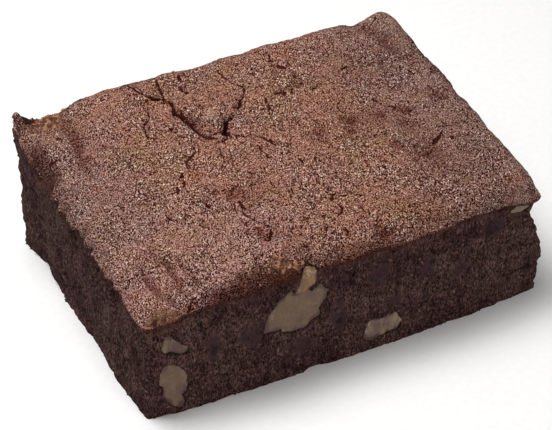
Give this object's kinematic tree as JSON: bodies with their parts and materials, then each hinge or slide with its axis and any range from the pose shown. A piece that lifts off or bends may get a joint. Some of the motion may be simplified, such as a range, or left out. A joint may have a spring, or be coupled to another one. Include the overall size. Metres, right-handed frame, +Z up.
{
  "type": "walnut brownie",
  "caption": "Rectangular slice of baked brownie with a thin crackled crust, dark moist cut sides and walnut pieces showing in them.",
  "frame": {"origin": "middle of the slice's bounding rectangle, on the surface that it rests on", "axes": "+X along the slice's length, to the right of someone who looks at the long cut side with the walnuts; -Y is that long cut side; +Z is up, through the crust"},
  "size_m": [0.078, 0.0572, 0.029],
  "materials": {
    "baked_brownie": "dry crackled crust over moist dark crumb",
    "walnut": "cut walnut, faintly oily"
  },
  "bodies": {
    "root": {"brownie": "baked_brownie", "walnut_front_large": "walnut", "walnut_front_chip": "walnut", "walnut_front_low": "walnut", "walnut_corner_upper": "walnut", "walnut_corner_lower": "walnut", "walnut_right_tip": "walnut", "walnut_right_side": "walnut", "walnut_back_large": "walnut", "walnut_back_low": "walnut"}
  },
  "joints": []
}
